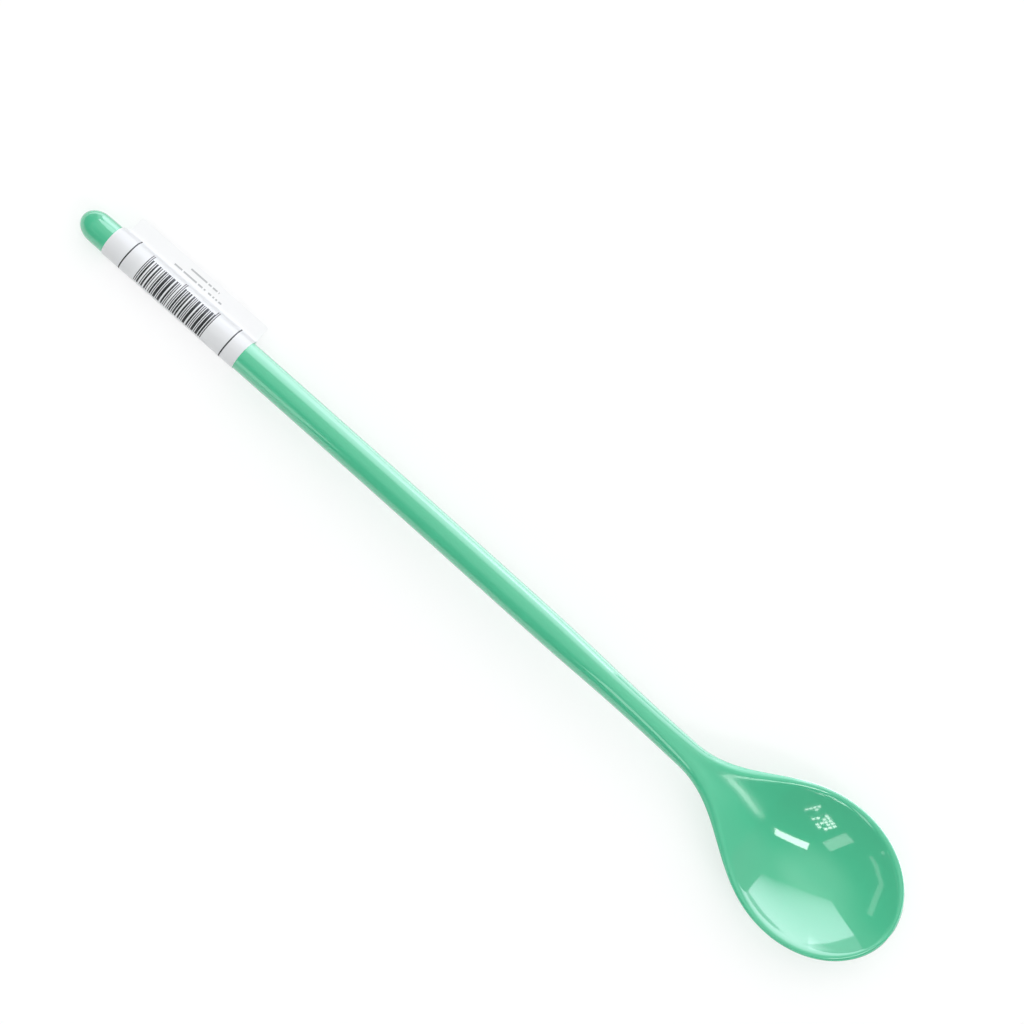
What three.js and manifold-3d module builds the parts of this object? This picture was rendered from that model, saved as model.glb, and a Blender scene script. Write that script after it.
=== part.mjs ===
// A long-handled serving spoon, moulded in one piece, with a flag label stuck round its handle.
// Millimetres, +Z up. The spoon lies on the belly of its bowl and on the end of its handle.
// X runs from the end of the handle to the tip of the bowl, and the flag points to +Y.

import * as THREE from "three";
import { mergeVertices } from "three/addons/utils/BufferGeometryUtils.js";
import Module from "manifold-3d";

const { lerp, smoothstep, degToRad } = THREE.MathUtils;

// Lengths along the spoon
const OVERALL_LENGTH = 305;
const END_DOME = 6;
const TAPER_LENGTH = 51;
const NECK_LENGTH = 11.5;
const SHOULDER_LENGTH = 49;
const TIP_LENGTH = 27.5;

// Widths seen from above, and how far the shoulder's curve keeps to the neck and to the bowl's side
const HANDLE_WIDTH = 9.3;
const NECK_WIDTH = 8;
const BOWL_WIDTH = 44.6;
const SHOULDER_NECK_PULL = 18.7;
const SHOULDER_BOWL_PULL = 21.5;

// Side view: the handle rises from its end to a crest, then dips to the level rim of the bowl
const HANDLE_HEIGHT = 8.8;
const RISE_ANGLE = degToRad(6.6);
const CREST_FROM_END = 190;
const DIP_LENGTH = 76;
const THINNING_LENGTH = 75;
const THINNING_LEAD = 27;

// Neck: its edges stay up longer than the dip alone would let them, and a hollow leads into the bowl
const NECK_LIFT = 2.2;
const NECK_HOLLOW = 1.25;
const NECK_RISE_LENGTH = 40;
const NECK_FALL_LENGTH = 31;

// Bowl: depth and wall at the middle of the wall, flat ground off its belly, and fullness of its curve,
// which is 0 for a paraboloid and less for a more open bowl
const BOWL_DEPTH = 10;
const BOWL_FULLNESS = -0.2;
const WALL = 2.6;
const REST_FLAT_DEPTH = 0.35;

// Flag label: one strip of film round the handle, its two ends stuck together as a flag
const LABEL_FROM_END = 11.3;
const LABEL_LENGTH = 49.8;
const FILM = 0.15;
const ADHESIVE_GAP = 0.1;
const FLAG_WIDTH = 5.8;
const FLAG_SETBACK = 1.7;
const FLAG_CORNER = 1;
const CREASE_WIDTH = 1.4;
const CREASE_HEIGHT = 0.6;

// Facets
const RING_SIDES = 48;
const OUTLINE_STEPS = [5, 9, 5, 2, 18, 13];
const LABEL_STEPS = 6;
const CORNER_STEPS = 4;
const FLAG_COLUMNS = 6;
const SLOPE_STEP = 0.01;

const COLOURS = { mint: 0x62c79d, label: 0xf1f4f5 };

// Places along X, from the end of the handle
const lipRadius = WALL / 2;
const lipOverhang = overhangOfLip();
const bowlHalf = BOWL_WIDTH / 2 - lipOverhang;
const tipReach = TIP_LENGTH - lipOverhang;
const widestLine = OVERALL_LENGTH - TIP_LENGTH;
const shoulderStart = widestLine - SHOULDER_LENGTH;
const neckStart = shoulderStart - NECK_LENGTH;
const taperStart = neckStart - TAPER_LENGTH;

// Heights of the middle of the section: the handle's end and the bowl's belly both touch Z = 0
const riseRate = Math.tan(RISE_ANGLE);
const endDrop = riseRate * END_DOME;
const endHeight = Math.hypot((HANDLE_HEIGHT / 2) * Math.cos(RISE_ANGLE), endDrop) - endDrop;
const crestHeight = endHeight + (riseRate * CREST_FROM_END) / 2;
const rimHeight = BOWL_DEPTH + lipRadius - REST_FLAT_DEPTH;

/** How far the rounded lip stands outside the end of the wall's middle line, which slopes at the rim. */
function overhangOfLip() {
  const rimSlope = Math.atan2(2 * (1 + BOWL_FULLNESS) * BOWL_DEPTH, BOWL_WIDTH / 2);
  const steepness = Math.sin(rimSlope);
  const fade = (Math.hypot(1, 2 * steepness) - 1) / (2 * steepness ** 2);
  return lipRadius * (Math.log(fade) / 2 + steepness * Math.sqrt(1 - fade));
}

/** Half of the spoon's outline seen from above: domed end, handle, taper, neck, shoulder and tip. */
function planOutline() {
  const handleHalf = HANDLE_WIDTH / 2;
  const neckHalf = NECK_WIDTH / 2;
  const halfTaper = TAPER_LENGTH / 2;
  const outline = new THREE.Path();
  outline.absellipse(END_DOME, 0, END_DOME, handleHalf, Math.PI, Math.PI / 2, true);
  outline.lineTo(taperStart, handleHalf);
  outline.bezierCurveTo(
    taperStart + halfTaper, handleHalf,
    neckStart - halfTaper, neckHalf,
    neckStart, neckHalf,
  );
  outline.lineTo(shoulderStart, neckHalf);
  outline.bezierCurveTo(
    shoulderStart + SHOULDER_NECK_PULL, neckHalf,
    widestLine - SHOULDER_BOWL_PULL, bowlHalf,
    widestLine, bowlHalf,
  );
  outline.absellipse(widestLine, 0, tipReach, bowlHalf, Math.PI / 2, 0, true);
  return outline.curves;
}

const outlineCurves = planOutline();

/** Half width of the outline at x, found by halving the stretch of curve that x lies in. */
function halfWidthAt(x) {
  const curve = outlineCurves.find((piece) => x <= piece.getPoint(1).x) ?? outlineCurves.at(-1);
  let low = 0;
  let high = 1;
  for (let step = 0; step < 40; step++) {
    const middle = (low + high) / 2;
    if (curve.getPoint(middle).x < x) low = middle;
    else high = middle;
  }
  return curve.getPoint(high).y;
}

/** Share of the neck's lift and hollow at x: it swells towards the shoulder and is gone at the bowl. */
function neckShareAt(x) {
  const swellEnd = widestLine - NECK_FALL_LENGTH - 1.5;
  return smoothstep(x, swellEnd - NECK_RISE_LENGTH, swellEnd)
    * (1 - smoothstep(x, swellEnd, swellEnd + NECK_FALL_LENGTH));
}

/** Height of the middle of the section: a parabola up to the crest, then a soft dip to the rim. */
function centreHeightAt(x) {
  if (x < CREST_FROM_END) {
    const toCrest = 1 - x / CREST_FROM_END;
    return crestHeight - (crestHeight - endHeight) * toCrest ** 2;
  }
  const dip = smoothstep(x, CREST_FROM_END, CREST_FROM_END + DIP_LENGTH);
  return lerp(crestHeight, rimHeight, dip) + NECK_LIFT * neckShareAt(x);
}

/** Half thickness: round handle thinning to the bowl's wall, rounded off at both ends of the spoon. */
function halfThicknessAt(x) {
  const thinStart = neckStart - THINNING_LEAD;
  const thinning = smoothstep(x, thinStart, thinStart + THINNING_LENGTH);
  const half = lerp(HANDLE_HEIGHT / 2, lipRadius, thinning);
  if (x < END_DOME) return half * Math.sqrt(1 - (1 - x / END_DOME) ** 2);
  if (x < widestLine) return half;
  const toTip = Math.min((x - widestLine) / tipReach, 1);
  return half * Math.sqrt(1 - toTip ** ((2 * tipReach) / lipRadius));
}

/** Depth of the dish at x: it grows about with the square of the width, as in a paraboloid. */
function dishDepthAt(x) {
  const hollow = NECK_HOLLOW * neckShareAt(x);
  if (x < shoulderStart) return hollow;
  const neckSquare = x < widestLine ? (NECK_WIDTH / 2) ** 2 : 0;
  const share = (halfWidthAt(x) ** 2 - neckSquare) / (bowlHalf ** 2 - neckSquare);
  return hollow + BOWL_DEPTH * share * (1 + BOWL_FULLNESS * (1 - share));
}

/** Rate of change of a function of x. */
function slopeOf(valueAt, x) {
  return (valueAt(x + SLOPE_STEP) - valueAt(x - SLOPE_STEP)) / (2 * SLOPE_STEP);
}

/** Everything that a cross-section at x needs. */
function stationAt(x) {
  return {
    x,
    halfWidth: halfWidthAt(x),
    centre: centreHeightAt(x),
    halfThickness: halfThicknessAt(x),
    dish: dishDepthAt(x),
    widthSlope: slopeOf(halfWidthAt, x),
    centreSlope: slopeOf(centreHeightAt, x),
    dishSlope: slopeOf(dishDepthAt, x),
  };
}

/** Point of the surface midway through the wall, where across goes from -1 to 1 over the width. */
function middlePoint(station, across, halfWidth) {
  const sag = (1 - across ** 2) * (1 + BOWL_FULLNESS * across ** 2);
  return new THREE.Vector3(station.x, halfWidth * across, station.centre - station.dish * sag);
}

/** Upward normal of that middle surface. */
function middleNormal(station, across) {
  const sag = (1 - across ** 2) * (1 + BOWL_FULLNESS * across ** 2);
  const sagSlope = -2 * across * (1 - BOWL_FULLNESS + 2 * BOWL_FULLNESS * across ** 2);
  const alongSlope = station.centreSlope - station.dishSlope * sag;
  return new THREE.Vector3(
    -station.widthSlope * across * station.dish * sagSlope - station.halfWidth * alongSlope,
    station.dish * sagSlope,
    station.halfWidth,
  ).normalize();
}

/**
 * Point on the skin of the spoon at a turn angle round its section, or a clearance outside it.
 * The section is an ellipse on the handle and becomes an even wall with a rounded lip in the bowl.
 */
function skinPoint(station, angle, clearance = 0) {
  const across = Math.cos(angle);
  const bluntness = (2 * station.halfWidth) / station.halfThickness;
  const roundness = Math.sqrt(1 - Math.abs(across) ** bluntness);
  const offset = Math.sign(Math.sin(angle)) * (station.halfThickness + clearance) * roundness;
  const point = middlePoint(station, across, station.halfWidth + clearance);
  point.addScaledVector(middleNormal(station, across), offset);
  point.z = Math.max(point.z, 0);
  return point;
}

/** One ring of skin points at a station. */
function ringAt(station, clearance = 0) {
  return Array.from({ length: RING_SIDES }, (_, side) =>
    skinPoint(station, (2 * Math.PI * side) / RING_SIDES, clearance));
}

/** Geometry from points and triangles, with normals. */
function geometryOf(points, triangles) {
  const geometry = new THREE.BufferGeometry().setFromPoints(points);
  geometry.setIndex(triangles);
  geometry.computeVertexNormals();
  return geometry;
}

/** Two triangles for each cell of a grid of point numbers. */
function gridTriangles(numberAt, rows, columns) {
  const triangles = [];
  for (let row = 0; row < rows; row++) {
    for (let column = 0; column < columns; column++) {
      const near = numberAt(row, column);
      const side = numberAt(row, column + 1);
      const far = numberAt(row + 1, column);
      const corner = numberAt(row + 1, column + 1);
      triangles.push(near, side, far, side, corner, far);
    }
  }
  return triangles;
}

/** The spoon: rings lofted along the outline, closed by a point at each end. */
function spoonGeometry() {
  const places = outlineCurves.flatMap((curve, index) => {
    const steps = OUTLINE_STEPS[index];
    return Array.from({ length: steps }, (_, step) => curve.getPoint((step + 1) / steps).x);
  });
  const tip = places.pop();
  const rings = places.map((x) => ringAt(stationAt(x)));
  const points = rings.flat();
  const endPoint = points.push(new THREE.Vector3(0, 0, centreHeightAt(0))) - 1;
  const tipPoint = points.push(new THREE.Vector3(tip, 0, centreHeightAt(tip))) - 1;
  const numberAt = (ring, side) => ring * RING_SIDES + (side % RING_SIDES);
  const last = rings.length - 1;
  const triangles = gridTriangles(numberAt, last, RING_SIDES);
  for (let side = 0; side < RING_SIDES; side++) {
    triangles.push(endPoint, numberAt(0, side + 1), numberAt(0, side));
    triangles.push(tipPoint, numberAt(last, side), numberAt(last, side + 1));
  }
  return geometryOf(points, triangles);
}

/** The label's wrap: a thin sleeve that follows the handle, open at both ends. */
function wrapGeometry() {
  const stations = Array.from({ length: LABEL_STEPS + 1 }, (_, step) =>
    stationAt(LABEL_FROM_END + (LABEL_LENGTH * step) / LABEL_STEPS));
  const outside = stations.map((station) => ringAt(station, ADHESIVE_GAP + FILM));
  const inside = stations.map((station) => ringAt(station, ADHESIVE_GAP)).reverse();
  const rings = [...outside, ...inside];
  const numberAt = (ring, side) => (ring % rings.length) * RING_SIDES + (side % RING_SIDES);
  return geometryOf(rings.flat(), gridTriangles(numberAt, rings.length, RING_SIDES));
}

/** Places along the flag, closer together round its corners, with its reach from the handle at each. */
function flagStations() {
  const start = LABEL_FROM_END + FLAG_SETBACK;
  const end = LABEL_FROM_END + LABEL_LENGTH;
  const turns = Array.from({ length: CORNER_STEPS + 1 }, (_, step) =>
    (Math.PI / 2) * (step / CORNER_STEPS));
  const corner = turns.map((turn) => ({
    inset: FLAG_CORNER * (1 - Math.cos(turn)),
    reach: FLAG_WIDTH - FLAG_CORNER * (1 - Math.sin(turn)),
  }));
  const straight = end - start - 2 * FLAG_CORNER;
  const between = Array.from({ length: LABEL_STEPS - 1 }, (_, step) => ({
    x: start + FLAG_CORNER + (straight * (step + 1)) / LABEL_STEPS,
    reach: FLAG_WIDTH,
  }));
  return [
    ...corner.map(({ inset, reach }) => ({ x: start + inset, reach })),
    ...between,
    ...corner.map(({ inset, reach }) => ({ x: end - inset, reach })).reverse(),
  ];
}

/** The label's flag: two plies face to face, parting in a small crease where they leave the handle. */
function flagGeometry() {
  const rows = flagStations().map(({ x, reach }) => {
    const station = stationAt(x);
    const root = station.halfWidth + ADHESIVE_GAP + FILM / 4;
    const up = middleNormal(station, 0);
    const face = (sign) => Array.from({ length: FLAG_COLUMNS + 1 }, (_, column) => {
      const out = reach * (column / FLAG_COLUMNS) ** 2;
      const parting = CREASE_HEIGHT * Math.max(1 - out / CREASE_WIDTH, 0) ** 2;
      return new THREE.Vector3(x, root + out, station.centre)
        .addScaledVector(up, sign * (FILM + parting));
    });
    return [...face(-1), ...face(1).reverse()];
  });
  const around = rows[0].length;
  const last = rows.length - 1;
  const numberAt = (row, column) => row * around + (column % around);
  const triangles = gridTriangles(numberAt, last, around);
  for (let column = 0; column < FLAG_COLUMNS; column++) {
    const above = around - 1 - column;
    triangles.push(numberAt(0, column), numberAt(0, above), numberAt(0, column + 1));
    triangles.push(numberAt(0, column + 1), numberAt(0, above), numberAt(0, above - 1));
    triangles.push(numberAt(last, column), numberAt(last, column + 1), numberAt(last, above));
    triangles.push(numberAt(last, column + 1), numberAt(last, above - 1), numberAt(last, above));
  }
  return geometryOf(rows.flat(), triangles);
}

/** Joins two closed geometries into one. */
async function joined(first, second) {
  const wasm = await Module();
  wasm.setup();
  const solidOf = (geometry) => {
    const bare = geometry.clone();
    bare.deleteAttribute("normal");
    const merged = mergeVertices(bare);
    return new wasm.Manifold(new wasm.Mesh({
      numProp: 3,
      vertProperties: merged.attributes.position.array,
      triVerts: Uint32Array.from(merged.index.array),
    }));
  };
  const mesh = solidOf(first).add(solidOf(second)).getMesh();
  const geometry = new THREE.BufferGeometry();
  geometry.setAttribute("position", new THREE.BufferAttribute(mesh.vertProperties, 3));
  geometry.setIndex(new THREE.BufferAttribute(mesh.triVerts, 1));
  geometry.computeVertexNormals();
  return geometry;
}

/** A named mesh with its finish. */
function piece(name, geometry, color, roughness) {
  const mesh = new THREE.Mesh(
    geometry,
    new THREE.MeshStandardMaterial({ color, roughness, metalness: 0 }),
  );
  mesh.name = name;
  return mesh;
}

const spoon = piece("spoon", spoonGeometry(), COLOURS.mint, 0.2);
const labelGeometry = await joined(wrapGeometry(), flagGeometry());
const flagLabel = piece("flag_label", labelGeometry, COLOURS.label, 0.45);

const group = new THREE.Group();
group.add(spoon, flagLabel);

// The origin lies under the middle of the spoon
const box = new THREE.Box3().setFromObject(spoon);
group.position.x = -(box.min.x + box.max.x) / 2;

export default group;
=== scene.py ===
"""A long-handled serving spoon in mint melamine, with a flag label stuck round its handle.

Metres, +Z up. The spoon lies on the belly of its bowl and on the end of its handle. X runs from the end of
the handle to the tip of the bowl, and the label's flag points to +Y.
"""

import logging
import math
from dataclasses import dataclass
from enum import Enum
from functools import cached_property
from typing import Any, Callable

import bmesh
import bpy
from mathutils import Matrix, Vector


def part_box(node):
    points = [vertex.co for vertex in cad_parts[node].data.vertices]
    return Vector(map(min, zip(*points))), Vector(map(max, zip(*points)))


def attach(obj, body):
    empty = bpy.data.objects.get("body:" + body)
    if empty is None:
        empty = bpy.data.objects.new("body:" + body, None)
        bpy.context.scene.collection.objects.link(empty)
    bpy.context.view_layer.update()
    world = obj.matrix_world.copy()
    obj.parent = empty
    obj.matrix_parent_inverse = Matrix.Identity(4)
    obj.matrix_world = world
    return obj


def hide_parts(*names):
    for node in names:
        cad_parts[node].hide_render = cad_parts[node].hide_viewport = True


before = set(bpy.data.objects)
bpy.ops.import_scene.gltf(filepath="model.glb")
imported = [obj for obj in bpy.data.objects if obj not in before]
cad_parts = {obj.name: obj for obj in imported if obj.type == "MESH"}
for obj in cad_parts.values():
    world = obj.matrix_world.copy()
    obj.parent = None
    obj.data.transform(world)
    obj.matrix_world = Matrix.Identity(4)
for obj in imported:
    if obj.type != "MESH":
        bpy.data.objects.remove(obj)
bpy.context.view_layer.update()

log = logging.getLogger("spoon")

MM = 0.001
BODY = "root"
SPOON_NODE = "spoon"
LABEL_NODE = "flag_label"
FLAT_MAP = "flat_film"
FLAT_MAP_SIZE = 100 * MM
RIM_POWER = 8
NOISE_MIDDLE = 0.5
HALVINGS = 40

Colour = tuple[float, float, float, float]
Point = tuple[float, float]
Place = tuple[float, float, float]

DAYLIGHT: Place = (0.96, 1.0, 1.13)
WINDOW_PLACE: tuple[Place, Place, Place] = ((-0.845, 0.779, 0.0), (4.171, 3.020, 0.0), (0.0, 0.0, 2.2))


def smoothstep(value: float, low: float, high: float) -> float:
    """Eased share, from 0 to 1, of the way from low to high."""
    share = min(max((value - low) / (high - low), 0.0), 1.0)
    return share * share * (3 - 2 * share)


def lerp(first: float, second: float, share: float) -> float:
    """Number a share of the way from first to second."""
    return first + (second - first) * share


def slope_of(value_at: Callable[[float], float], x: float, step: float = 0.01 * MM) -> float:
    """Rise of a function for each unit of x, over a step each way."""
    return (value_at(x + step) - value_at(x - step)) / (2 * step)


def bezier(points: tuple[Point, ...], share: float) -> Point:
    """Point of a cubic curve.

    Args:
        points: start, first handle, second handle and end.
        share: place along the curve, from 0 to 1.

    Returns:
        The point at that share.
    """
    rest = 1 - share
    weights = (rest**3, 3 * rest**2 * share, 3 * rest * share**2, share**3)
    return (
        sum(weight * point[0] for weight, point in zip(weights, points)),
        sum(weight * point[1] for weight, point in zip(weights, points)),
    )


def level_curve(start: Point, end: Point, pull: float, end_pull: float) -> tuple[Point, ...]:
    """Cubic curve that leaves its start and reaches its end along x, with a pull at each."""
    return start, (start[0] + pull, start[1]), (end[0] - end_pull, end[1]), end


def deselect_all() -> None:
    """Leaves no object selected, so that an operator acts on the new piece alone."""
    bpy.ops.object.select_all(action="DESELECT")


def start_edit(name: str) -> bpy.types.Object:
    """Names the primitive just added, puts its place into its mesh and opens it for editing.

    Args:
        name: the new piece's name.

    Returns:
        The piece, in edit mode and selected all over.
    """
    piece = bpy.context.object
    piece.name = name
    piece.data.name = name
    bpy.ops.object.transform_apply(location=True, rotation=True, scale=True)
    bpy.ops.object.mode_set(mode="EDIT")
    bpy.ops.mesh.select_all(action="SELECT")
    return piece


def apply_modifier(piece: bpy.types.Object, kind: str, **settings: Any) -> None:
    """Adds a modifier with its settings and applies it.

    Args:
        piece: the active mesh object.
        kind: the modifier's type.
        settings: the modifier's properties.
    """
    modifier = piece.modifiers.new(kind.lower(), kind)
    for setting, value in settings.items():
        setattr(modifier, setting, value)
    bpy.ops.object.modifier_apply(modifier=modifier.name)


class Operation(Enum):
    """The steps of shader arithmetic that the finishes use."""

    ADD = "ADD"
    SUBTRACT = "SUBTRACT"
    MULTIPLY = "MULTIPLY"
    DIVIDE = "DIVIDE"
    GREATER_THAN = "GREATER_THAN"
    LESS_THAN = "LESS_THAN"
    MAXIMUM = "MAXIMUM"
    FLOOR = "FLOOR"
    ABSOLUTE = "ABSOLUTE"


def arithmetic(operation: Operation, turned: bool = False) -> Callable[..., "Shade"]:
    """Makes one of the operators of Shade.

    Args:
        operation: the step of arithmetic.
        turned: whether the other value comes first.

    Returns:
        The method for that operator.
    """

    def method(self: "Shade", *others: "Shade | float") -> "Shade":
        """Adds the Math node for this value and the others."""
        values = (*others, self) if turned else (self, *others)
        return self.bench.maths(operation, *values)

    return method


class Shade:
    """A value of a node tree: arithmetic on it adds Math nodes, and a bar takes the greater of two."""

    __add__ = arithmetic(Operation.ADD)
    __radd__ = arithmetic(Operation.ADD, turned=True)
    __sub__ = arithmetic(Operation.SUBTRACT)
    __rsub__ = arithmetic(Operation.SUBTRACT, turned=True)
    __mul__ = arithmetic(Operation.MULTIPLY)
    __rmul__ = arithmetic(Operation.MULTIPLY, turned=True)
    __truediv__ = arithmetic(Operation.DIVIDE)
    __gt__ = arithmetic(Operation.GREATER_THAN)
    __lt__ = arithmetic(Operation.LESS_THAN)
    __or__ = arithmetic(Operation.MAXIMUM)
    __abs__ = arithmetic(Operation.ABSOLUTE)
    __floor__ = arithmetic(Operation.FLOOR)

    def __init__(self, bench: "Bench", socket: bpy.types.NodeSocket) -> None:
        """Keeps the socket and the bench that it belongs to."""
        self.bench = bench
        self.socket = socket

    def between(self, low: float, high: float) -> "Shade":
        """1 where this lies between two numbers."""
        return (self > low) * (self < high)

    def near(self, centre: float, width: float) -> "Shade":
        """1 on a line of that width about a centre."""
        return abs(self - centre) < width / 2


class Bench:
    """The node tree of one finish, and the way to add nodes to it."""

    MIX_INPUTS = (0, 6, 7)
    MIX_RESULT = 2

    def __init__(self, tree: bpy.types.NodeTree) -> None:
        """Takes over a node tree and clears it."""
        self.tree = tree
        tree.nodes.clear()

    def node(
        self,
        kind: str,
        settings: dict[str, Any] | None = None,
        sockets: dict[str | int, Any] | None = None,
    ) -> bpy.types.Node:
        """Adds a node.

        Args:
            kind: the node's type.
            settings: its properties, which are set first.
            sockets: values or links for its inputs, by name or by number.

        Returns:
            The node.
        """
        made = self.tree.nodes.new(kind)
        for setting, value in (settings or {}).items():
            setattr(made, setting, value)
        for place, value in (sockets or {}).items():
            self.feed(made.inputs[place], value)
        return made

    def feed(self, socket: bpy.types.NodeSocket, value: Any) -> None:
        """Links a socket or a shade to an input, or sets a plain value on it.

        Args:
            socket: the input.
            value: what goes into it.
        """
        source = value.socket if isinstance(value, Shade) else value
        if isinstance(source, bpy.types.NodeSocket):
            self.tree.links.new(source, socket)
        else:
            socket.default_value = source

    def maths(self, operation: Operation, *values: "Shade | float") -> Shade:
        """Adds a Math node for one or two values and gives its result."""
        sockets = dict(enumerate(values))
        return self.shade(self.node("ShaderNodeMath", {"operation": operation.value}, sockets))

    def shade(self, node: bpy.types.Node, output: str | int = 0) -> Shade:
        """A node's output as a value for arithmetic."""
        return Shade(self, node.outputs[output])

    def mix(self, factor: "Shade | float", first: Any, second: Any) -> bpy.types.NodeSocket:
        """Mixes two colours or links to colours: factor 0 gives the first and 1 the second."""
        sockets = dict(zip(self.MIX_INPUTS, (factor, first, second)))
        return self.node("ShaderNodeMix", {"data_type": "RGBA"}, sockets).outputs[self.MIX_RESULT]

    def object_place(self) -> bpy.types.NodeSocket:
        """Object coordinates."""
        return self.node("ShaderNodeTexCoord").outputs["Object"]

    def noise(self, scale: float, detail: float) -> Shade:
        """Soft noise over the object, by cells in a metre and octaves of finer noise."""
        sockets = {"Vector": self.object_place(), "Scale": scale, "Detail": detail}
        return self.shade(self.node("ShaderNodeTexNoise", None, sockets), "Fac")

    def ease(self, value: Shade, low: float, high: float) -> Shade:
        """Eased share, from 0 to 1, of the way from low to high."""
        sockets = {"Value": value, "From Min": low, "From Max": high}
        return self.shade(self.node("ShaderNodeMapRange", {"interpolation_type": "SMOOTHSTEP"}, sockets))

    def split(self, vector: bpy.types.NodeSocket) -> tuple[Shade, Shade, Shade]:
        """The three parts of a vector."""
        node = self.node("ShaderNodeSeparateXYZ", None, {"Vector": vector})
        return self.shade(node, "X"), self.shade(node, "Y"), self.shade(node, "Z")

    def bump(self, height: Shade, distance: float) -> bpy.types.NodeSocket:
        """Normals of a bumpy surface, from heights of 0 to 1 and the distance that 1 stands for."""
        sockets = {"Height": height, "Distance": distance, "Strength": 1.0}
        return self.node("ShaderNodeBump", None, sockets).outputs["Normal"]

    def close(self, surface: bpy.types.NodeSocket, kind: str = "ShaderNodeOutputMaterial") -> None:
        """Links the finished shader to the tree's output."""
        self.node(kind, None, {"Surface": surface})


def new_material(name: str) -> tuple[bpy.types.Material, Bench]:
    """Adds an empty material.

    Args:
        name: the material's name.

    Returns:
        The material and the bench of its node tree.
    """
    material = bpy.data.materials.new(name)
    material.use_nodes = True
    return material, Bench(material.node_tree)


@dataclass(frozen=True)
class MelamineFinish:
    """Glossy moulded melamine: an even mint that drifts a little, under a barely rippled gloss."""

    name: str = "mint_melamine"
    colour: Colour = (0.058, 0.500, 0.270, 1.0)
    pale_colour: Colour = (0.070, 0.530, 0.295, 1.0)
    drift_cells: float = 28.0
    drift_detail: float = 2.0
    refraction: float = 1.65
    roughness: float = 0.08
    roughness_spread: float = 0.04
    polish: float = 0.9
    dull_start: Point = (76 * MM, 88 * MM)
    dull_end: Point = (106 * MM, 102 * MM)
    dull_share: float = 0.8
    dull_roughness: float = 0.15
    polish_roughness: float = 0.02
    haze_cells: float = 120.0
    haze_detail: float = 4.0
    ripple_cells: float = 160.0
    ripple_detail: float = 1.0
    ripple_height: float = 0.0003 * MM

    def make(self) -> bpy.types.Material:
        """Builds the material.

        Returns:
            The material for the spoon.
        """
        material, bench = new_material(self.name)
        drift = bench.noise(self.drift_cells, self.drift_detail)
        haze = bench.noise(self.haze_cells, self.haze_detail) - NOISE_MIDDLE
        ripple = bench.noise(self.ripple_cells, self.ripple_detail)
        along, _, _ = bench.split(bench.object_place())
        dull = bench.ease(along, *self.dull_start) * bench.ease(along, *self.dull_end)
        sockets = {
            "Base Color": bench.mix(drift, self.colour, self.pale_colour),
            "Roughness": self.roughness + self.roughness_spread * haze + self.dull_roughness * dull,
            "IOR": self.refraction,
            "Coat Weight": self.polish * (1 - self.dull_share * dull),
            "Coat Roughness": self.polish_roughness,
            "Normal": bench.bump(ripple, self.ripple_height),
        }
        bench.close(bench.node("ShaderNodeBsdfPrincipled", None, sockets).outputs["BSDF"])
        return material


@dataclass(frozen=True)
class LabelLayout:
    """What is printed on the label: lengths along it and across it from the crease, on the flat film."""

    rules: tuple[float, ...] = (6.53 * MM, 44.57 * MM)
    rule_width: float = 0.42 * MM
    bars_start: float = 11.95 * MM
    module: float = 0.2675 * MM
    side_modules: int = 42
    guard_modules: int = 3
    middle_modules: int = 5
    group_modules: int = 6
    bars_top: float = 4.0 * MM
    guards_top: float = 1.9 * MM
    bars_bottom: float = 13.0 * MM
    rhythm_seed: float = 7.0
    small_print: tuple[tuple[float, float, float], ...] = (
        (17.5 * MM, 36.6 * MM, 1.6 * MM),
        (21.7 * MM, 32.7 * MM, 3.6 * MM),
    )
    small_print_height: float = 0.5 * MM
    dash: float = 0.55 * MM
    dash_share: float = 0.72


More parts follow.
